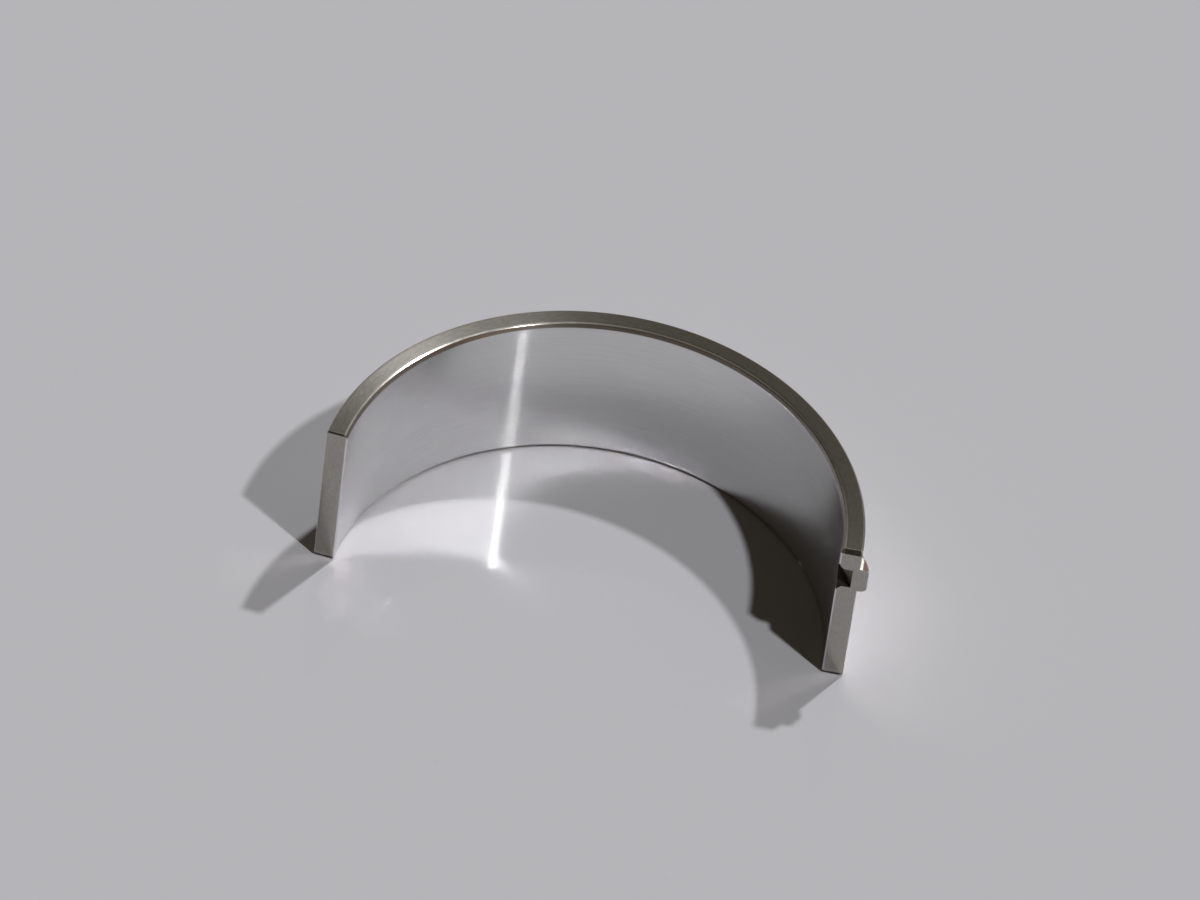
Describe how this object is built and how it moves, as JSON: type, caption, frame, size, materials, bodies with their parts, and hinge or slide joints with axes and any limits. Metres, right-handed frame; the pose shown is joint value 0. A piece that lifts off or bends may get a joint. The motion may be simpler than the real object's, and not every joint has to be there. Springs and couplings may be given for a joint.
{
  "type": "engine bearing shell",
  "caption": "Plain half-round engine main-bearing shell with a chamfered bore and a pressed-out locating lug at one parting face, shown sprung open out of its housing.",
  "frame": {"origin": "on the bearing's axis, at mid-width", "axes": "+Z along the bearing's axis, towards the side face that the lug is nearer to; +Y from the axis to the crown of the arc; +X towards the parting face that carries the lug"},
  "size_m": [0.0546, 0.0256, 0.0172],
  "materials": {
    "lined_steel": "satin bored lining on a plain steel back, with faced sides and cut parting faces"
  },
  "bodies": {
    "root": {"bearing_shell": "lined_steel"}
  },
  "joints": []
}
